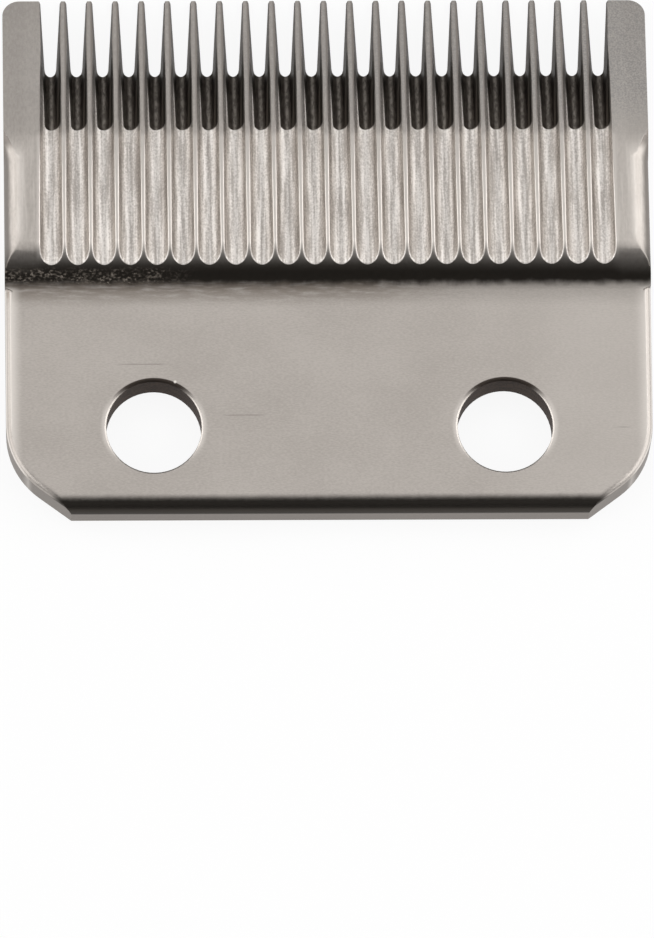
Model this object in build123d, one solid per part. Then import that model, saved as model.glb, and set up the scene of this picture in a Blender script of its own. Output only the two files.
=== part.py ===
from build123d import *
import os
from math import cos, radians, sin, tan

# The fixed blade of a hair clipper, ground from one piece of tool steel: a flat plate with two
# screw holes steps up through a hollow cove to a wedge that thins down to a row of tooth tips.
# Long round flutes run from the step to the tips, and a narrower slot cut at a steeper angle
# along the floor of each flute breaks through the cutting face and parts the teeth.
# Frame: X across the blade, Y towards the tooth tips, Z up out of the skin side.
# The origin lies midway between the two screw holes, on the flat cutting face.

# Driving dimensions, in millimetres and degrees.

# Plan of the blade
TIP_REACH = 33.5  # tooth tips ahead of the line through the screw holes
REAR_REACH = 6.3  # rear edge behind that line
EAR_WIDTH = 2.5  # each end ear, from the last flute to the blade's side
SIDE_FLARE = 0.2  # how much further out each side stands at the tips than at the rear
FRONT_CORNER_RADIUS = 1.25  # outer front corner of each ear
REAR_CORNER_WIDTH = 4.65  # rear corner cut, measured across the blade
REAR_CORNER_LENGTH = 3.5  # the same cut, measured along the blade
REAR_CORNER_ROUND = 6.0  # where that cut runs into the side

# Plate with the screw holes
PLATE_THICKNESS = 2.6
PLATE_EDGE_ROUND = 0.5  # soft upper edge along the sides and corners
HOLE_SPACING = 25.4
HOLE_RADIUS = 3.45
HOLE_RIM_BREAK = 0.18  # small bevel around each hole
REAR_EDGE_ROUND = 1.2  # the rear edge rolls over in one large round
PLATE_REACH = 10.6  # how far ahead of the screw holes its soft side edges run

# Wedge in front of the plate
STEP_REACH = 9.1  # foot of the cove ahead of the screw holes
COVE_RADIUS = 5.2
CREST_ROUND = 2.0  # where the cove rolls over into the top of the wedge
TOP_ANGLE = 8.5  # fall of the wedge's top towards the tips
SHOULDER_ROUND = 1.4  # soft upper edge along both sides of the wedge
SHOULDER_REACH = 20.6  # how far ahead of the screw holes it keeps that size
SHOULDER_FADE = 2.2  # length over which it then runs out
FRONT_BEVEL_LENGTH = 11.3  # flat ground from the tips backwards
FRONT_BEVEL_ANGLE = 12.2
TIP_THICKNESS = 0.42

# Flutes and tooth gaps
GAP_COUNT = 22
TOOTH_PITCH = 1.91
FLUTE_RADIUS = 0.8
FLUTE_ANGLE = 8.8  # fall of the flute floors towards the tips
FLUTE_TIP_HEIGHT = 0.205  # a flute's floor above the cutting face at the tips
SLOT_DEPTH = 5.75  # tooth length on the cutting face, from tip to slot root
SLOT_ANGLE = 20.2  # fall of the slot floors towards the tips
SLOT_LENGTH = 10.55  # from the tips back to the round end of a slot
SLOT_END_ROUND = 0.46
SLOT_FLOOR_WIDTH = 0.82
SLOT_FLOOR_RADIUS = 0.8  # gentle hollow across a slot's floor
SLOT_CORNER_RADIUS = 0.2  # where the floor turns up into the walls
SLOT_WALL_ANGLE = 9.3  # lean of a slot's walls away from its middle
TIP_CORNER_RADIUS = 0.09  # rounded corners of each tooth tip

# Cutting face
HOLLOW_RADIUS = 29.0  # shallow hollow ground across the cutting face
HOLLOW_DEPTH = 0.35
FRONT_LAND = 10.0  # flat land left between the tips and the hollow

# Places worked out from the dimensions above
flute_places = [(i - (GAP_COUNT - 1) / 2) * TOOTH_PITCH for i in range(GAP_COUNT)]
half_width = flute_places[-1] + FLUTE_RADIUS + EAR_WIDTH
flare_slope = SIDE_FLARE / (TIP_REACH + REAR_REACH)
bevel_start = TIP_REACH - FRONT_BEVEL_LENGTH
bevel_start_height = TIP_THICKNESS + FRONT_BEVEL_LENGTH * tan(radians(FRONT_BEVEL_ANGLE))
clear = 2 * PLATE_THICKNESS  # how far cutting shapes reach past the steel


def half_width_at(y):
    """Half of the blade's width at a place along its length."""
    return half_width + (y + REAR_REACH) * flare_slope


def sloped_plane(y, z, angle):
    """A plane across the blade through (y, z) that falls towards the tips."""
    lean = radians(angle)
    return Plane(origin=(0, y, z), x_dir=(1, 0, 0), z_dir=(0, sin(lean), cos(lean)))


def cutting_path(y, z, angle):
    """A plane facing up and back along a groove floor that passes through (y, z)."""
    lean = radians(angle)
    return Plane(origin=(0, y, z), x_dir=(1, 0, 0), z_dir=(0, -cos(lean), sin(lean)))


def corner_waste(radius):
    """A flat square corner without the quarter round of that radius about its inner point."""
    corner = make_face(Polyline((0, 0), (clear, 0), (clear, clear), (0, clear), close=True))
    return corner - Circle(radius)


def rear_round_cutter():
    """The waste above the rear edge, straight across the blade."""
    place = Pos(0, REAR_EDGE_ROUND - REAR_REACH, PLATE_THICKNESS - REAR_EDGE_ROUND)
    rear_plane = Plane(origin=(0, 0, 0), x_dir=(0, -1, 0), z_dir=(-1, 0, 0))
    return place * extrude(rear_plane * corner_waste(REAR_EDGE_ROUND), half_width + clear, both=True)


def make_plate():
    """The flat rear half: cut corners, soft edges, rolled rear edge and two screw holes."""
    front = PLATE_REACH + PLATE_EDGE_ROUND
    rear_half, front_half = half_width_at(-REAR_REACH), half_width_at(front)
    outline = make_face(
        Polyline(
            (REAR_CORNER_WIDTH - rear_half, -REAR_REACH),
            (rear_half - REAR_CORNER_WIDTH, -REAR_REACH),
            (half_width_at(REAR_CORNER_LENGTH - REAR_REACH), REAR_CORNER_LENGTH - REAR_REACH),
            (front_half, front),
            (-front_half, front),
            (-half_width_at(REAR_CORNER_LENGTH - REAR_REACH), REAR_CORNER_LENGTH - REAR_REACH),
            close=True,
        )
    )
    outline = fillet(outline.vertices().group_by(Axis.Y)[1], REAR_CORNER_ROUND)
    plate = extrude(outline, PLATE_THICKNESS)
    rim = plate.edges().group_by(Axis.Z)[-1].sort_by(Axis.Y)[:-1]
    plate = fillet(rim, PLATE_EDGE_ROUND)
    plate -= rear_round_cutter()
    plate -= [
        Pos(x, 0, 0) * Cylinder(HOLE_RADIUS, 2 * clear)
        for x in (-HOLE_SPACING / 2, HOLE_SPACING / 2)
    ]
    rims = plate.edges().filter_by(GeomType.CIRCLE).filter_by(
        lambda e: abs(e.radius - HOLE_RADIUS) < 1e-6 and e.center().Z > PLATE_THICKNESS / 2
    )
    return chamfer(rims, HOLE_RIM_BREAK)


def wedge_section():
    """The wedge cut along the blade: sloping top, rounded crest and the hollow cove behind it."""
    fall = tan(radians(TOP_ANGLE))
    section = make_face(
        Polyline(
            (STEP_REACH, 0),
            (TIP_REACH, 0),
            (TIP_REACH, bevel_start_height - FRONT_BEVEL_LENGTH * fall),
            (STEP_REACH, bevel_start_height + (bevel_start - STEP_REACH) * fall),
            close=True,
        )
    )
    section -= Pos(STEP_REACH, PLATE_THICKNESS + COVE_RADIUS) * Circle(COVE_RADIUS)
    crest = section.vertices().sort_by(Axis.Y)[-1]
    return fillet(crest, CREST_ROUND)


def shoulder_cutters():
    """The waste above the soft upper edge along each side of the wedge."""
    lean = radians(TOP_ANGLE)
    top_height = bevel_start_height + (bevel_start - SHOULDER_REACH) * tan(lean)
    path = cutting_path(SHOULDER_REACH, top_height, TOP_ANGLE)
    place = Pos(half_width_at(SHOULDER_REACH) - SHOULDER_ROUND, -SHOULDER_ROUND)
    face = path * place * corner_waste(SHOULDER_ROUND)
    backwards = path.z_dir - Vector(flare_slope * cos(lean), 0, 0)
    lift = SHOULDER_ROUND * (1 - cos(radians(45)))
    run_out = path.x_dir * lift + path.y_dir * lift - backwards * SHOULDER_FADE
    right = extrude(face, TIP_REACH, dir=backwards) + extrude(face, run_out.length, dir=run_out)
    return [right, mirror(right, Plane.YZ)]


def make_wedge():
    """The front half before fluting: cove, crest, soft shoulders and front bevel."""
    inset = 1.1 * PLATE_EDGE_ROUND
    foot_half = half_width_at(STEP_REACH) - inset
    side_half, tip_half = half_width_at(PLATE_REACH), half_width_at(TIP_REACH)
    outline = make_face(
        Polyline(
            (-foot_half, STEP_REACH),
            (foot_half, STEP_REACH),
            (side_half - inset, PLATE_REACH - inset / 2),
            (side_half, PLATE_REACH),
            (tip_half, TIP_REACH),
            (-tip_half, TIP_REACH),
            (-side_half, PLATE_REACH),
            (inset - side_half, PLATE_REACH - inset / 2),
            close=True,
        )
    )
    wedge = extrude(outline, 2 * clear) & extrude(Plane.YZ * wedge_section(), half_width + clear, both=True)
    wedge -= shoulder_cutters()
    return split(wedge, sloped_plane(bevel_start, bevel_start_height, FRONT_BEVEL_ANGLE), Keep.BOTTOM)


def front_corner_cutters():
    """The waste outside the round outer front corner of each ear."""
    x, y = half_width_at(TIP_REACH) - FRONT_CORNER_RADIUS, TIP_REACH - FRONT_CORNER_RADIUS
    right = extrude(Pos(x, y, 0) * corner_waste(FRONT_CORNER_RADIUS), clear, both=True)
    return [right, mirror(right, Plane.YZ)]


def flute_cutter():
    """A round-nosed cut along the middle of the blade, falling gently to the tips."""
    section = Pos(0, FLUTE_RADIUS) * Circle(FLUTE_RADIUS)
    section += Pos(0, FLUTE_RADIUS + clear / 2) * Rectangle(2 * FLUTE_RADIUS, clear)
    path = cutting_path(TIP_REACH, FLUTE_TIP_HEIGHT, FLUTE_ANGLE)
    return extrude(path.offset(-clear) * section, TIP_REACH)


def slot_cutter():
    """A narrower, flatter cut with a round end that falls through the cutting face."""
    floor_x = SLOT_FLOOR_WIDTH / 2
    floor_y = SLOT_FLOOR_RADIUS - (SLOT_FLOOR_RADIUS**2 - floor_x**2) ** 0.5
    wall_x = floor_x + (clear - floor_y) * tan(radians(SLOT_WALL_ANGLE))
    section = make_face(
        [
            ThreePointArc((-floor_x, floor_y), (0, 0), (floor_x, floor_y)),
            Polyline((floor_x, floor_y), (wall_x, clear), (-wall_x, clear), (-floor_x, floor_y)),
        ]
    )
    section = fillet(section.vertices().filter_by(lambda v: v.Y < clear / 2), SLOT_CORNER_RADIUS)
    path = cutting_path(TIP_REACH - SLOT_DEPTH, 0, SLOT_ANGLE)
    groove = extrude(path.offset(-SLOT_DEPTH - clear) * section, TIP_REACH)
    end_y = TIP_REACH - SLOT_LENGTH + SLOT_END_ROUND
    plan = Pos(0, end_y) * Circle(SLOT_END_ROUND)
    plan += Pos(0, end_y + TIP_REACH / 2) * Rectangle(2 * clear, TIP_REACH)
    return groove & extrude(plan, 2 * clear, both=True)


def hollow_cutter():
    """The grinding wheel that hollows the cutting face behind its front land."""
    half_chord = (HOLLOW_DEPTH * (2 * HOLLOW_RADIUS - HOLLOW_DEPTH)) ** 0.5
    y = TIP_REACH - FRONT_LAND - half_chord
    wheel = Rot(0, 90, 0) * Cylinder(HOLLOW_RADIUS, 2 * (half_width + clear))
    return Pos(0, y, HOLLOW_DEPTH - HOLLOW_RADIUS) * wheel


def make_blade():
    """The whole blade: plate and wedge in one, then hollowed, fluted, slotted and eased."""
    blade = make_plate() + make_wedge()
    blade -= front_corner_cutters()
    blade -= hollow_cutter()
    flute, slot = flute_cutter(), slot_cutter()
    blade -= [Pos(x, 0, 0) * flute for x in flute_places]
    blade -= [Pos(x, 0, 0) * slot for x in flute_places]
    last_gap = flute_places[-1] + TOOTH_PITCH / 2
    at_tips = blade.edges().filter_by_position(Axis.Y, TIP_REACH - 1e-4, TIP_REACH + 1e-4)
    tip_corners = at_tips.filter_by(Axis.X, reverse=True).filter_by(
        lambda e: abs(e.center().X) < last_gap and abs((e @ 0).Y - (e @ 1).Y) < 1e-4
    )
    return fillet(tip_corners, TIP_CORNER_RADIUS)


os.makedirs("parts", exist_ok=True)
fixed_blade = make_blade()
export_step(fixed_blade, "parts/fixed_blade.step")
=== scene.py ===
# %% [markdown]
# # The fixed blade of a hair clipper
# The real thing is one piece of hardened tool steel. A flat plate with two screw holes carries a
# wedge, and the wedge is ground into long flutes and a comb of teeth. The solid is already made in
# CAD, so Blender's work here is what the solid leaves out: broken edges, ground and blackened
# finishes, a studio and a camera. The first cell loads the solid as a fixed frame, in metres.

# %% Load the blade
from math import cos, hypot, pi, radians, sin

import bmesh
import bpy
from mathutils import Matrix, Vector


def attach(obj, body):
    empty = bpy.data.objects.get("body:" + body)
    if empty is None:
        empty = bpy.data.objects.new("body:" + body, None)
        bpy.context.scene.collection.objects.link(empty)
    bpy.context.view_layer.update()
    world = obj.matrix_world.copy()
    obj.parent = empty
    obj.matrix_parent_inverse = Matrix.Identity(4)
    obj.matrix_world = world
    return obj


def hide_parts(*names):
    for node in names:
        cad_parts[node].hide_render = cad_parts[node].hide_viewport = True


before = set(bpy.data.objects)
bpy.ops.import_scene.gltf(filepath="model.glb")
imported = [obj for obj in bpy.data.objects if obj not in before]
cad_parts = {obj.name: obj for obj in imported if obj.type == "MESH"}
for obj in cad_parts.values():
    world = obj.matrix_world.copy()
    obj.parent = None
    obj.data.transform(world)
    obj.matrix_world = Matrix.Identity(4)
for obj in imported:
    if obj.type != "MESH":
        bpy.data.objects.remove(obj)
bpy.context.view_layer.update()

blade_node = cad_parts["fixed_blade"]
MM = 0.001

# %% [markdown]
# ## One skin from loose triangles
# A CAD mesh arrives as triangles that only touch. To bevel an edge, Blender has to know which faces
# share it, so a copy of the mesh is merged first. Then every flat area is dissolved into one face:
# a bevel slides its new corners along the edges that it finds, and on a clean flat face it finds
# only the real ones.

# %% Merge a copy and clear its flat faces
skin = bmesh.new()
skin.from_mesh(blade_node.data)
bmesh.ops.remove_doubles(skin, verts=skin.verts, dist=0.001 * MM)
bmesh.ops.dissolve_limit(
    skin, angle_limit=radians(0.3), use_dissolve_boundaries=False, verts=skin.verts, edges=skin.edges
)
print("merged skin:", len(skin.faces), "faces, closed:", all(e.is_manifold for e in skin.edges))

# %% [markdown]
# ## Broken edges
# Tumbling in stones takes the sharpness off the ridges between the flutes. The front of the blade is
# ground afterwards, so there the edges are keen again. Only the rear ridges and the scalloped rims
# where the flutes run out over the step get a small round, wide enough to catch a line of light.

# %% Round the rear ridges and the scalloped rims
CREASE_Y = 22.2 * MM
EDGE_ROUND = 0.1 * MM


def is_rear_ridge(edge):
    """A sharp outer edge between the step and the crease of the wedge."""
    middle = (edge.verts[0].co + edge.verts[1].co) / 2
    if not (11.8 * MM < middle.y < CREASE_Y and middle.z > 2.75 * MM):
        return False
    return edge.is_convex and edge.calc_face_angle() > radians(35)


ridges = [e for e in skin.edges if is_rear_ridge(e)]
rounded = bmesh.ops.bevel(
    skin, geom=ridges, offset=EDGE_ROUND, offset_type="OFFSET", segments=3, profile=0.5,
    affect="EDGES", clamp_overlap=False, material=-1,
)["faces"]
print("rounded", len(ridges), "ridge edges; faces now:", len(skin.faces))

# %% [markdown]
# ## Zones
# Each tool leaves its own finish. The outside was tumbled to a satin, the flutes were ground
# lengthwise with a round wheel, the slots between the teeth and the screw holes were left as they
# were cut and blackened in the furnace, a black deepened with painted shade, and the cutting face
# was lapped flat. All of it is one piece, so the finishes become material slots of one mesh. Where a
# face belongs follows from the geometry: a face is in a flute, for example, if its middle lies on
# that flute's round.

# %% Sort the faces into zones
SATIN, FLUTE, SLOT, HOLE, LAPPED = range(5)
TIP_Y = 33.5
FLUTE_PITCH = 1.91
FLUTE_COUNT = 22
FLUTE_RADIUS = 0.8
FLUTE_FALL = radians(8.8)
FLUTE_TIP_Z = 0.205
HOLE_X = 12.7
HOLE_RADIUS = 3.45
RIM_RADIUS = 3.63


def across_flute(x):
    """How far x lies from the middle of the nearest flute, in mm."""
    number = min(max(round(x / FLUTE_PITCH - 0.5), -FLUTE_COUNT // 2), FLUTE_COUNT // 2 - 1)
    return abs(x - (number + 0.5) * FLUTE_PITCH)


def is_on_flute(place):
    """True on the round floor or the upright walls of a flute."""
    above = (place.y - TIP_Y) * sin(FLUTE_FALL) + (place.z - FLUTE_TIP_Z) * cos(FLUTE_FALL)
    from_axis = hypot(across_flute(place.x), min(above - FLUTE_RADIUS, 0))
    return abs(from_axis - FLUTE_RADIUS) < 0.03


def zone_of(face):
    """The finish of one face, from where it lies and where it looks."""
    place = face.calc_center_median() / MM
    if face.normal.z < -0.7:
        return LAPPED
    if abs(face.normal.z) < 0.3 and hypot(abs(place.x) - HOLE_X, place.y) < HOLE_RADIUS + 0.05:
        return HOLE
    if place.y > 11.5 and is_on_flute(place):
        return FLUTE
    if place.y > CREASE_Y / MM and across_flute(place.x) < 0.8:
        return SLOT
    return SATIN


def is_hole_rim(edge):
    """True on the outer circle of a hole's bevel, where it runs softly into the plate."""
    middle = (edge.verts[0].co + edge.verts[1].co) / 2 / MM
    return middle.z > 2.55 and abs(hypot(abs(middle.x) - HOLE_X, middle.y) - RIM_RADIUS) < 0.04


def is_hollow_rim(edge):
    """True where the ground hollow of the underside meets a flat land."""
    return all(abs(v.co.z) < 0.001 * MM for v in edge.verts) and edge.calc_face_angle(0) > radians(3)


for face in skin.faces:
    face.material_index = zone_of(face)
    face.smooth = True
for edge in skin.edges:
    soft = edge.calc_face_angle(0) < radians(28) and not is_hollow_rim(edge)
    edge.smooth = soft or is_hole_rim(edge)
for face in rounded:
    for edge in face.edges:
        edge.smooth = True
print("faces in each zone:", [sum(f.material_index == zone for f in skin.faces) for zone in range(5)])

# %% [markdown]
# ## The blade's own object
# The skin becomes one object that stands for the CAD node and moves with the same body. A weighted
# normal modifier lets the large flat faces keep their flat shading right up to the rounds beside
# them, while edges marked sharp stay sharp.

# %% Make the object
blade_mesh = bpy.data.meshes.new("blade_skin")
skin.to_mesh(blade_mesh)
skin.free()
blade = bpy.data.objects.new("blade_skin", blade_mesh)
bpy.context.scene.collection.objects.link(blade)
even = blade.modifiers.new("flat faces stay flat", "WEIGHTED_NORMAL")
even.keep_sharp = True
even.weight = 80
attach(blade, "root")
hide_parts("fixed_blade")
print("blade_skin:", len(blade_mesh.polygons), "faces,", len(blade_mesh.vertices), "vertices")

# %% [markdown]
# ## Tools for the finishes
# Every finish below is steel, so each starts from a metallic shader, and what differs is how dark
# and how rough it is from place to place. The patterns read the object's own coordinates, turned
# into millimetres, so a streak of 0.1 mm is written as such and stays put on the blade from any
# side. A place or a pattern is a mask from 0 to 1: masks are multiplied where all of them must
# hold, and the largest is taken where one is enough. A few helpers keep the node trees readable.

# %% Helpers for node trees
def put(tree, kind, inputs, **settings):
    """Add one node; an input is given as a value or as the output that feeds it."""
    node = tree.nodes.new("ShaderNode" + kind)
    for name, value in settings.items():
        setattr(node, name, value)
    for name, value in inputs.items():
        if isinstance(value, bpy.types.NodeSocket):
            tree.links.new(value, node.inputs[name])
        else:
            node.inputs[name].default_value = value
    return node


def calc(tree, operation, first, second=0.0):
    """The result of one arithmetic step."""
    return put(tree, "Math", {0: first, 1: second}, operation=operation).outputs[0]


def times(tree, *masks):
    """The product of several masks."""
    result = masks[0]
    for mask in masks[1:]:
        result = calc(tree, "MULTIPLY", result, mask)
    return result


def most(tree, *masks):
    """The largest of several masks."""
    result = masks[0]
    for mask in masks[1:]:
        result = calc(tree, "MAXIMUM", result, mask)
    return result


def ramp(tree, value, start, end, low=0.0, high=1.0):
    """A soft step from low to high while value goes from start to end."""
    inputs = {"Value": value, "From Min": start, "From Max": end, "To Min": low, "To Max": high}
    return put(tree, "MapRange", inputs, interpolation_type="SMOOTHSTEP").outputs[0]


def between(tree, value, start, full, fade, end):
    """A soft band that rises from start to full and falls from fade to end."""
    return times(tree, ramp(tree, value, start, full), ramp(tree, value, end, fade))


# %% [markdown]
# ### Colours, noise and relief
# Four more helpers: one lays a colour over another, one makes noise with its own fineness along
# each axis, one starts a material, and one turns a pattern of heights into a relief.

# %% Helpers for colours, noise and relief
def blend(tree, share, first, second):
    """A colour that goes from first to second as share goes from 0 to 1."""
    inputs = {"Factor": share, "A": first, "B": second}
    node = tree.nodes.new("ShaderNodeMix")
    node.data_type = "RGBA"
    for socket in node.inputs:
        if socket.enabled and socket.name in inputs:
            value = inputs[socket.name]
            if isinstance(value, bpy.types.NodeSocket):
                tree.links.new(value, socket)
            else:
                socket.default_value = value
    return next(s for s in node.outputs if s.enabled)


def grain(tree, place, per_mm, detail=2.0):
    """Noise from 0 to 1 with its own fineness along each axis, in waves per millimetre."""
    stretched = put(tree, "Mapping", {"Vector": place, "Scale": per_mm}).outputs[0]
    return put(tree, "TexNoise", {"Vector": stretched, "Scale": 1.0, "Detail": detail}).outputs["Fac"]


def new_finish(name):
    """A metallic material: its tree, its shader and the place on the blade in millimetres."""
    finish = bpy.data.materials.new(name)
    finish.use_nodes = True
    blade_mesh.materials.append(finish)
    tree = finish.node_tree
    shader = tree.nodes["Principled BSDF"]
    shader.inputs["Metallic"].default_value = 1.0
    here = put(tree, "TexCoord", {}).outputs["Object"]
    place = put(tree, "Mapping", {"Vector": here, "Scale": (1000, 1000, 1000)}).outputs[0]
    return tree, shader, place


def press(tree, shader, height_mm):
    """Let a pattern of heights, in millimetres, catch the light as a relief."""
    inputs = {"Height": height_mm, "Distance": MM, "Strength": 1.0}
    tree.links.new(put(tree, "Bump", inputs).outputs[0], shader.inputs["Normal"])


# %% [markdown]
# ## Satin outside
# The plate, the ears, the ridges and the sides have a warm grey satin with a fine grain, as
# tumbling in stones leaves it. The edges of the plate and the shoulders of the ears carry painted
# highlights, the sides are rougher and painted darker as shade, and the rolled rear edge is painted
# as dark as the step, as shade. One tree holds all of that, as soft masks over one steel, because a
# mask is good at changing slowly from one finish to the next. The masks read where a place lies and
# how steeply it stands there.

# %% Where the satin changes
tree, shader, place = new_finish("satin_steel")
at = put(tree, "SeparateXYZ", {"Vector": place}).outputs
facing = put(tree, "NewGeometry", {}).outputs["Normal"]
upright = put(tree, "SeparateXYZ", {"Vector": facing}).outputs["Z"]
aside = calc(tree, "ABSOLUTE", at["X"])
on_plate = ramp(tree, at["Y"], 10.7, 10.4)
at_side = ramp(tree, aside, 21.6, 22.3)
at_rear = ramp(tree, at["Y"], -3.7, -4.2)

# Painted shade: steep sides and the rear wall are painted darker, also where a side runs out at the
# front; their extra roughness is real.
steep = calc(tree, "ADD", upright, times(tree, on_plate, 0.42))
dull_and_shaded_side = times(tree, ramp(tree, steep, 0.8, 0.55), most(tree, at_side, at_rear))
run_out = times(tree, at_side, ramp(tree, at["Y"], 20.9, 21.8), ramp(tree, upright, 0.985, 0.95))
dull_and_shaded_side = most(tree, dull_and_shaded_side, run_out)
# Painted highlight: a bright band along the shoulder of each ear.
shoulder_highlight = times(
    tree, between(tree, at["Y"], 13.5, 14.5, 20.5, 22.0), ramp(tree, aside, 21.7, 22.4),
    ramp(tree, upright, 0.93, 0.98, 0.0, 0.4),
)
# Painted light: the ridge tops are painted lighter, and their rims get a painted highlight further
# down.
ridge_top_light = times(tree, between(tree, at["Y"], 12.0, 13.0, 22.0, 22.6), ramp(tree, aside, 21.2, 20.95))
print("masks of ears, sides and ridges:", len(tree.nodes), "nodes so far")

# %% [markdown]
# ### Edges of the plate
# The side edges carry a painted highlight, a little brighter on the left. The rear edge is painted
# dark as shade, and the line where that painted shade begins is not quite straight, so its place is
# shifted by noise before it is compared.

# %% Edges of the plate
# Painted highlight along the side edges of the plate, brighter on the left.
upper_side = times(
    tree, ramp(tree, aside, 22.1, 23.35), ramp(tree, upright, 0.93, 0.98),
    ramp(tree, at["X"], -5, 5, 1.0, 0.7),
)
lower_side = times(tree, at_side, ramp(tree, upright, 0.7, 0.5))
side_edge_highlight = most(tree, upper_side, lower_side)
side_edge_highlight = times(tree, side_edge_highlight, on_plate, ramp(tree, upright, 0.12, 0.3))

# Painted shade: the rolled rear edge is painted as dark as the step.
wander = times(tree, grain(tree, place, (1.6, 1.6, 1.6), 5.0), 0.16)
rear_line = calc(tree, "ADD", at["Y"], wander)
rear_roll_shade = times(tree, ramp(tree, rear_line, -4.95, -5.6), ramp(tree, upright, 0.02, 0.2))
print("with the plate's edges:", len(tree.nodes), "nodes")

# %% [markdown]
# ### Rims of the screw holes
# Around each hole the rim carries a painted highlight where it looks to the left or right, and is
# painted as dark as the bore, as shade, where it looks to the rear. One small nick on the left
# hole's rim carries a painted glint, a bright spot.

# %% Rims of the screw holes
NICK_X, NICK_Y = -11.15, 3.4


def distance_from(across, x, y):
    """How far a place on the plate lies from a point, in mm."""
    offset = {"X": calc(tree, "SUBTRACT", across, x), "Y": calc(tree, "SUBTRACT", at["Y"], y)}
    offset = put(tree, "CombineXYZ", offset).outputs[0]
    return put(tree, "VectorMath", {0: offset}, operation="LENGTH").outputs["Value"]


from_bore = distance_from(aside, HOLE_X, 0.0)
# Painted shade: the rim in front of each hole is painted as dark as the bore.
hole_front_shade = times(tree, ramp(tree, from_bore, 3.74, 3.66), ramp(tree, at["Y"], 1.9, 3.1))
# Painted highlight: the rim beside each hole, where it looks left or right.
beside_bore = ramp(tree, calc(tree, "ABSOLUTE", at["Y"]), 3.0, 1.0)
hole_side_highlight = times(tree, ramp(tree, from_bore, 3.95, 3.6), beside_bore)
# Painted glint: one bright spot on a nick in the left hole's rim.
nick_glint = ramp(tree, distance_from(at["X"], NICK_X, NICK_Y), 0.15, 0.05)
print("with the rims:", len(tree.nodes), "nodes")

# %% [markdown]
# ### The step
# The tumbling stones did not reach into the hollow step behind the flutes. It is painted nearly
# black, partly as the dark scale left there and partly as painted shade, and the line where it meets
# the plate wanders, with a brown tail on the plate. The pits at its left end are the crests of a
# finer noise, gathered into clumps by a coarser one.

# %% The step and its ragged foot
ragged = times(tree, grain(tree, place, (1.1, 1.1, 1.1), 5.0), 0.5)
foot = calc(tree, "SUBTRACT", at["Y"], ragged)
crest = ramp(tree, aside, 20.5, 21.5, 11.5, 11.2)
# The step's near black is partly dark scale and partly painted shade.
in_step = times(tree, ramp(tree, foot, 10.25, 10.85), ramp(tree, at["Y"], 13.8, crest))
streaks = grain(tree, place, (0.7, 4, 4), 5.0)
tail = times(
    tree, between(tree, at["Y"], 8.9, 10.9, 11.5, 12.5), ramp(tree, streaks, 0.2, 0.6),
    ramp(tree, at["X"], 11, 1, 0.1, 1.0),
)
left_end = ramp(tree, at["X"], -9, -14)
pits = ramp(tree, grain(tree, place, (4.5, 6, 6), 6.0), 0.45, 0.75)
clumps = ramp(tree, grain(tree, place, (1.3, 1.6, 1.6), 3.0), 0.35, 0.6, 0.25, 1.0)
pitted = times(tree, pits, clumps, ramp(tree, at["Y"], 12.0, 11.6), in_step, left_end)
print("with the step:", len(tree.nodes), "nodes")

# %% [markdown]
# ### Grain and scratches
# The grain is a fine noise, drawn crosswise on the plate and lengthwise on the ears, with slow
# clouds under it. A few single scratches run across the plate; each is a thin band that fades at
# both ends. The tooth tops are painted darker towards their edges, as painted shade.

# %% Grain, scratches and painted shade at the tooth edges
lengthwise = grain(tree, place, (6, 2.5, 4), 3.0)
crosswise = grain(tree, place, (4.5, 13, 13), 3.0)
fine = ramp(tree, on_plate, 0, 1, lengthwise, crosswise)
speckle = grain(tree, place, (8, 8, 8), 2.0)
clouds = grain(tree, place, (0.2, 0.3, 0.3), 2.0)
drawn = ramp(tree, grain(tree, place, (5, 0.3, 0.3), 3.0), 0.45, 0.7)
drawn = times(tree, drawn, between(tree, at["Y"], 13.5, 15, 20, 24))


def scratch(start, end, y):
    """A faint mark across the plate, in mm."""
    along = between(tree, at["X"], start, start + 1.5, end - 0.8, end)
    off = calc(tree, "ABSOLUTE", calc(tree, "SUBTRACT", at["Y"], y))
    return times(tree, along, ramp(tree, off, 0.07, 0.02))


scratches = most(
    tree, scratch(-15.8, -11.6, 4.74), scratch(-8.2, -4.5, 0.85), scratch(20.2, 22.0, -0.15)
)
# Painted shade: the tooth tops are painted darker towards their edges.
folded = calc(tree, "FRACT", calc(tree, "ADD", calc(tree, "DIVIDE", at["X"], FLUTE_PITCH), 0.53))
from_ridge = times(tree, calc(tree, "ABSOLUTE", calc(tree, "SUBTRACT", folded, 0.5)), FLUTE_PITCH)
tooth_edge_shade = times(
    tree, ramp(tree, from_ridge, 0.06, 0.22), ramp(tree, at["Y"], 22.6, 24.0),
    ramp(tree, aside, 20.8, 20.5),
)
print("with grain and scratches:", len(tree.nodes), "nodes")

# %% [markdown]
# ### Colour of the satin
# The masks now say where each steel shows. They are laid over the mottled ground like coats of
# paint, so a later one covers an earlier one: first the broad changes of tone, among them a lighter
# tone towards the right side and painted shade on the front facet, then painted light on the ridge
# tops and painted highlights and painted shade at the edges, and last the black of the step, which
# is partly painted shade, its pits and the painted glint of the nick.

# %% Colour of the satin
LIGHT_STEEL = (0.49, 0.451, 0.416, 1)
DARK_STEEL = (0.41, 0.375, 0.344, 1)
RIDGE_STEEL = (0.58, 0.54, 0.50, 1)
# HIGHLIGHT_STEEL is the colour of the painted highlights and of the nick's painted glint.
HIGHLIGHT_STEEL = (0.80, 0.75, 0.70, 1)
FRONT_STEEL = (0.31, 0.298, 0.287, 1)
SIDE_STEEL = (0.25, 0.225, 0.205, 1)
STEP_STEEL = (0.037, 0.032, 0.027, 1)
BORE_STEEL = (0.05, 0.04, 0.034, 1)
PIT_STEEL = (0.27, 0.235, 0.20, 1)
TAIL_STEEL = (0.205, 0.172, 0.142, 1)

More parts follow.
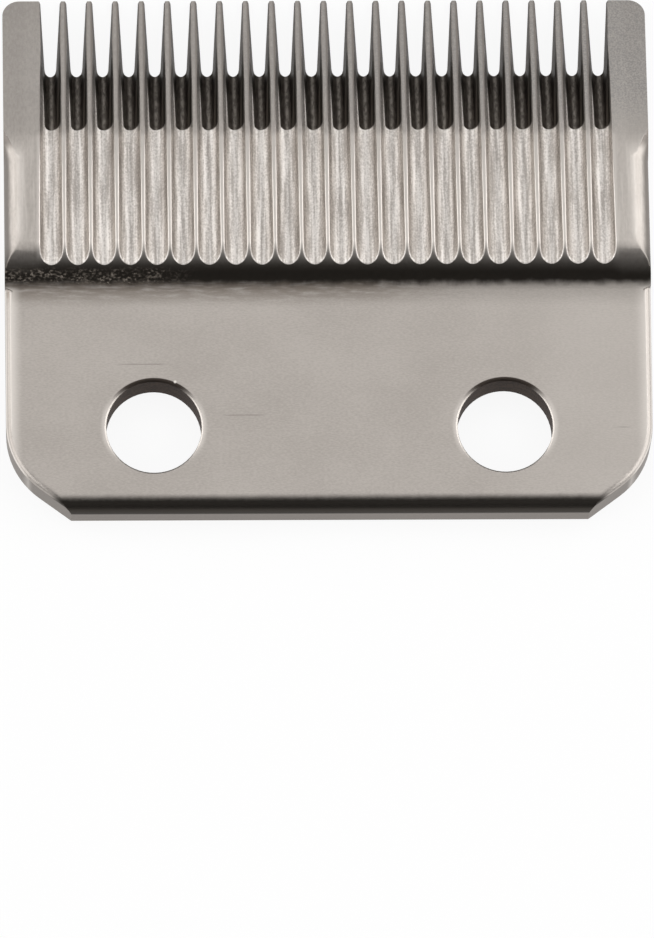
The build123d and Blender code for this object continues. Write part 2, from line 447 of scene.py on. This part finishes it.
# Painted shade: the front facet is painted darker and more neutral, more so on the right.
front_facet_shade = times(
    tree, ramp(tree, at["Y"], 20.5, 26.5), ramp(tree, speckle, 0.3, 0.7, 0.15, 0.7),
    ramp(tree, at["X"], -22, 22, 0.4, 1.35),
)
# Painted highlights: the side edges, the hole rims and the shoulders share one bright steel.
painted_highlights = most(tree, side_edge_highlight, times(tree, hole_side_highlight, 0.5), shoulder_highlight)
coats = [
    (ramp(tree, at["X"], 8, 22, 0.0, 0.3), RIDGE_STEEL),
    (times(tree, drawn, 0.6), RIDGE_STEEL),
    (front_facet_shade, FRONT_STEEL),
    (ridge_top_light, RIDGE_STEEL),
    (times(tree, ridge_top_light, ramp(tree, upright, 0.97, 0.9, 0.0, 0.8)), HIGHLIGHT_STEEL),
    (times(tree, scratches, 0.55), SIDE_STEEL),
    (times(tree, tail, 0.9), TAIL_STEEL),
    (times(tree, tooth_edge_shade, 0.9), SIDE_STEEL),
    (painted_highlights, HIGHLIGHT_STEEL),
    (dull_and_shaded_side, SIDE_STEEL),
    (hole_front_shade, BORE_STEEL),
    (most(tree, in_step, times(tree, rear_roll_shade, 0.96)), STEP_STEEL),
    (pitted, PIT_STEEL),
    (nick_glint, HIGHLIGHT_STEEL),
]
mottle = calc(tree, "ADD", times(tree, fine, 0.7), times(tree, clouds, 0.3))
colour = blend(tree, ramp(tree, mottle, 0.32, 0.68), DARK_STEEL, LIGHT_STEEL)
for share, steel in coats:
    colour = blend(tree, share, colour, steel)
tree.links.new(colour, shader.inputs["Base Color"])
print("laid", len(coats), "coats over the satin")

# %% [markdown]
# ### Gloss and relief of the satin
# The same fine grain makes the gloss uneven and stands out by a few thousandths of a millimetre.
# The dull sides are rougher, and the pitted patch is raised where its metal shows.

# %% Gloss and relief of the satin
rough = ramp(tree, fine, 0.3, 0.7, 0.36, 0.42)
rough = calc(tree, "ADD", rough, times(tree, dull_and_shaded_side, 0.12))
tree.links.new(rough, shader.inputs["Roughness"])
press(tree, shader, calc(tree, "ADD", times(tree, fine, 0.005), times(tree, pitted, 0.03)))
print("satin_steel:", len(tree.nodes), "nodes")

# %% [markdown]
# ## Ground flutes
# A round wheel was drawn along each flute, so its marks run lengthwise, and they are coarser than
# the satin. The noise is stretched along the flute to draw them: fine across, long and wandering
# along. A second, even grain stands for the roughness that tumbling left on top. Where a flute
# passes its slot, the black of the slot spreads a little over the flute, and the walls that flank
# the thin ends of the teeth are painted darker, as painted shade.

# %% The flutes' finish
FLUTE_DARK = (0.435, 0.40, 0.37, 1)
FLUTE_LIGHT = (0.77, 0.73, 0.69, 1)
SLOT_BLACK = (0.045, 0.038, 0.032, 1)
TOOTH_WALL_SHADE = (0.16, 0.145, 0.13, 1)
SLOT_END_Y = 23.55

tree, shader, place = new_finish("ground_flute")
at = put(tree, "SeparateXYZ", {"Vector": place}).outputs
drawn = grain(tree, place, (5, 0.25, 0.25), 4.0)
fine = grain(tree, place, (8, 6, 6), 2.0)
marks = calc(tree, "ADD", times(tree, drawn, 0.65), times(tree, fine, 0.35))
colour = blend(tree, ramp(tree, marks, 0.36, 0.64), FLUTE_DARK, FLUTE_LIGHT)

folded = calc(tree, "FRACT", calc(tree, "DIVIDE", at["X"], FLUTE_PITCH))
across = times(tree, calc(tree, "SUBTRACT", folded, 0.58), FLUTE_PITCH)
behind = calc(tree, "MINIMUM", calc(tree, "SUBTRACT", at["Y"], SLOT_END_Y), 0.0)
away = put(tree, "CombineXYZ", {"X": across, "Y": behind}).outputs[0]
away = put(tree, "VectorMath", {0: away}, operation="LENGTH").outputs["Value"]
colour = blend(tree, ramp(tree, away, 0.64, 0.52), colour, SLOT_BLACK)
from_middle = calc(tree, "ABSOLUTE", calc(tree, "SUBTRACT", folded, 0.5))
# Painted shade: the walls beside the thin ends of the teeth are painted darker.
tooth_wall_shade = times(tree, ramp(tree, at["Y"], 25.0, 27.5), ramp(tree, from_middle, 0.2, 0.3))
colour = blend(tree, times(tree, tooth_wall_shade, 0.6), colour, TOOTH_WALL_SHADE)
tree.links.new(colour, shader.inputs["Base Color"])
tree.links.new(ramp(tree, marks, 0.3, 0.7, 0.52, 0.44), shader.inputs["Roughness"])
press(tree, shader, times(tree, marks, 0.014))
print("ground_flute:", len(tree.nodes), "nodes")

# %% [markdown]
# ## Slots as they were cut
# The slots that part the teeth kept the dark skin of the hardening furnace, and their near black is
# partly painted shade as well. Along the middle of each floor runs a painted highlight, a thin
# broken line, and the left wall near the slot's rear end, which faces right, is painted lighter as
# painted light. The middle is found by folding the width of the blade into one tooth pitch, so one
# tree serves all the slots.

# %% The slots' finish
FURNACE_DARK = (0.045, 0.037, 0.031, 1)
FURNACE_LIGHT = (0.08, 0.068, 0.058, 1)
FLOOR_HIGHLIGHT_STEEL = (0.36, 0.325, 0.29, 1)
LIT_WALL_STEEL = (0.30, 0.27, 0.245, 1)

tree, shader, place = new_finish("furnace_black_slot")
at = put(tree, "SeparateXYZ", {"Vector": place}).outputs
facing = put(tree, "NewGeometry", {}).outputs["Normal"]
turned = put(tree, "SeparateXYZ", {"Vector": facing}).outputs
folded = calc(tree, "FRACT", calc(tree, "DIVIDE", at["X"], FLUTE_PITCH))
from_middle = calc(tree, "ABSOLUTE", calc(tree, "SUBTRACT", folded, 0.535))
# Painted highlight: a thin broken bright line along the middle of each slot floor.
on_floor = times(tree, ramp(tree, turned["Z"], 0.6, 0.85), ramp(tree, from_middle, 0.12, 0.0))
specks = ramp(tree, grain(tree, place, (5, 2, 2), 3.0), 0.35, 0.65, 0.35, 1.0)
# Painted light: walls that face right, near the slot's rear end, are painted lighter.
lit_wall = times(tree, ramp(tree, turned["X"], 0.5, 0.9), ramp(tree, at["Y"], 27.0, 25.0))

# The slot's near black is partly furnace skin and partly painted shade.
fine = grain(tree, place, (6, 2, 2), 3.0)
colour = blend(tree, ramp(tree, fine, 0.35, 0.65), FURNACE_DARK, FURNACE_LIGHT)
colour = blend(tree, times(tree, on_floor, specks), colour, FLOOR_HIGHLIGHT_STEEL)
colour = blend(tree, times(tree, lit_wall, 0.8), colour, LIT_WALL_STEEL)
tree.links.new(colour, shader.inputs["Base Color"])
tree.links.new(ramp(tree, fine, 0.3, 0.7, 0.5, 0.62), shader.inputs["Roughness"])
press(tree, shader, times(tree, fine, 0.012))
print("furnace_black_slot:", len(tree.nodes), "nodes")

# %% [markdown]
# ## Screw holes
# The holes were bored and not touched again, so their walls are dark brown, speckled, and carry
# faint rings; their near black is partly painted shade as well. Rings around an upright hole are
# simply bands by height, which noise stretched flat gives; an even noise adds the specks.

# %% The hole walls' finish
WALL_DARK = (0.026, 0.017, 0.012, 1)
WALL_LIGHT = (0.075, 0.052, 0.040, 1)

tree, shader, place = new_finish("bored_wall")
# The walls' dark brown is partly bored skin and partly painted shade.
rings = times(tree, grain(tree, place, (0.6, 0.6, 7), 3.0), 0.5)
specks = times(tree, grain(tree, place, (6, 6, 6), 3.0), 0.5)
skin_marks = calc(tree, "ADD", rings, specks)
colour = blend(tree, ramp(tree, skin_marks, 0.4, 0.6), WALL_DARK, WALL_LIGHT)
tree.links.new(colour, shader.inputs["Base Color"])
tree.links.new(ramp(tree, skin_marks, 0.3, 0.7, 0.65, 0.75), shader.inputs["Roughness"])
press(tree, shader, times(tree, skin_marks, 0.012))
print("bored_wall:", len(tree.nodes), "nodes")

# %% [markdown]
# ## Lapped cutting face
# The underside is the face that shears the hair, so it is lapped: smoother and brighter than the
# rest, with hair lines across the blade, along the stroke of the cut. It is a touch darker and
# rougher in the shallow hollow, which only a grinding wheel has seen.

# %% The cutting face's finish
LAPPED_DARK = (0.47, 0.435, 0.405, 1)
LAPPED_LIGHT = (0.56, 0.525, 0.495, 1)
HOLLOW_STEEL = (0.38, 0.35, 0.32, 1)

tree, shader, place = new_finish("lapped_face")
at = put(tree, "SeparateXYZ", {"Vector": place}).outputs
lines = grain(tree, place, (0.12, 11, 11), 3.0)
hollow = ramp(tree, at["Z"], 0.005, 0.06)
colour = blend(tree, ramp(tree, lines, 0.35, 0.65), LAPPED_DARK, LAPPED_LIGHT)
colour = blend(tree, times(tree, hollow, 0.5), colour, HOLLOW_STEEL)
tree.links.new(colour, shader.inputs["Base Color"])
rough = calc(tree, "ADD", ramp(tree, lines, 0.3, 0.7, 0.24, 0.32), times(tree, hollow, 0.15))
tree.links.new(rough, shader.inputs["Roughness"])
press(tree, shader, times(tree, lines, 0.003))
print("lapped_face:", len(tree.nodes), "nodes")

# %% [markdown]
# ## Floor
# The blade lies on a plain white sweep. A white floor under a lamp still renders grey, so part of
# its white is given off by the floor itself, and only to rays that come from the camera or from a
# mirror: it adds no light to the blade. The rest stays ordinary paint, which keeps the shadow.

# %% A white floor that keeps a shadow
FLOOR_RADIUS = 2.5
FLOOR_DROP = 0.02 * MM
WHITE_SHARE = 0.9

floor_shape = bmesh.new()
bmesh.ops.create_circle(floor_shape, cap_ends=True, segments=64, radius=FLOOR_RADIUS)
bmesh.ops.translate(floor_shape, verts=floor_shape.verts, vec=(0, 0, -FLOOR_DROP))
floor_mesh = bpy.data.meshes.new("floor")
floor_shape.to_mesh(floor_mesh)
floor_shape.free()
floor = bpy.data.objects.new("floor", floor_mesh)
bpy.context.scene.collection.objects.link(floor)

white = bpy.data.materials.new("white_floor")
white.use_nodes = True
floor_mesh.materials.append(white)
tree = white.node_tree
tree.nodes.clear()
paint = put(tree, "BsdfDiffuse", {"Color": (0.93, 0.93, 0.93, 1)}).outputs[0]
glow = put(tree, "Emission", {"Color": (1, 1, 1, 1), "Strength": 1.0}).outputs[0]
ray = put(tree, "LightPath", {}).outputs
seen = most(tree, ray["Is Camera Ray"], ray["Is Glossy Ray"], ray["Is Transmission Ray"])
surface = put(tree, "MixShader", {0: times(tree, seen, WHITE_SHARE), 1: paint, 2: glow}).outputs[0]
put(tree, "OutputMaterial", {"Surface": surface})
print("floor radius in m:", round(max(v.co.length for v in floor_mesh.vertices), 2))

# %% [markdown]
# ## Light
# Polished metal shows its surroundings more than its own colour. Six soft boxes do it here. One
# above and a little ahead gives the plate its even grey, and a narrower one before it lifts the
# flutes and ears. One on each side, reaching down to the floor, draws the bright lines on ridges
# and shoulders. Two weak ones at the rear corners keep the plate grey when it is seen from the
# teeth. Straight behind the blade and low in front of it the studio stays dim, which deepens the
# black of the step and the slots.

# %% Soft boxes in a dim studio
world = bpy.data.worlds.new("dim_studio")
bpy.context.scene.world = world
world.use_nodes = True
world.node_tree.nodes["Background"].inputs["Color"].default_value = (0.05, 0.05, 0.05, 1)
LAMP_DISTANCE = 1.6
BLADE_MIDDLE = Vector((0, 13, 0)) * MM


def soft_box(name, lean, turn, width, height, brightness):
    """A rectangular lamp: lean is its angle from straight above, turn its compass angle from +Y."""
    lamp = bpy.data.lights.new(name, "AREA")
    lamp.shape = "RECTANGLE"
    lamp.size = width
    lamp.size_y = height
    lamp.energy = brightness * pi * width * height
    box = bpy.data.objects.new(name, lamp)
    swing = Matrix.Rotation(radians(-turn), 4, "Z") @ Matrix.Rotation(radians(-lean), 4, "X")
    away = Matrix.Translation((0, 0, LAMP_DISTANCE))
    box.matrix_world = Matrix.Translation(BLADE_MIDDLE) @ swing @ away
    bpy.context.scene.collection.objects.link(box)
    print(name, "stands", round(box.matrix_world.translation.z, 2), "m high")


soft_box("overhead_box", 17, 0, 2.0, 2.0, 0.83)
soft_box("front_box", 34, 0, 2.2, 0.5, 0.45)
soft_box("left_box", 62, -80, 2.4, 1.5, 1.85)
soft_box("right_box", 60, 80, 2.4, 1.5, 2.0)
soft_box("rear_left_box", 58, -140, 1.5, 1.2, 0.55)
soft_box("rear_right_box", 58, 140, 1.5, 1.2, 0.55)

# %% [markdown]
# ## Camera
# The picture was taken with a long lens from above and a little behind the blade, so that nothing
# tapers. The lean, the turn and the scale were worked out from the screw holes, whose true distance
# is known, and from the ends of the flutes and teeth.

# %% Camera
CAMERA_LEAN = radians(17.79)
CAMERA_TURN = radians(1.65)
CAMERA_ROLL = radians(0.19)
AIM = Vector((0, 13.65, 1.5)) * MM
FROM_AIM = Vector((-0.01, -15.77, 826)) * MM
PIXELS_PER_MM = 13.752
PICTURE_HEIGHT = 938

turned = (
    Matrix.Rotation(CAMERA_ROLL, 3, "Z")
    @ Matrix.Rotation(CAMERA_TURN, 3, "Y")
    @ Matrix.Rotation(-CAMERA_LEAN, 3, "X")
).transposed()
lens = bpy.data.cameras.new("photo_camera")
lens.sensor_width = 36
lens.lens = PIXELS_PER_MM * FROM_AIM.z / MM * lens.sensor_width / PICTURE_HEIGHT
camera = bpy.data.objects.new("photo_camera", lens)
camera.matrix_world = Matrix.Translation(AIM + turned @ FROM_AIM) @ turned.to_4x4()
bpy.context.scene.collection.objects.link(camera)
bpy.context.scene.camera = camera
bpy.context.scene.view_settings.view_transform = "Standard"
camera_place = [round(c, 4) for c in camera.matrix_world.translation]
print("lens in mm:", round(lens.lens, 1), "camera at", camera_place)
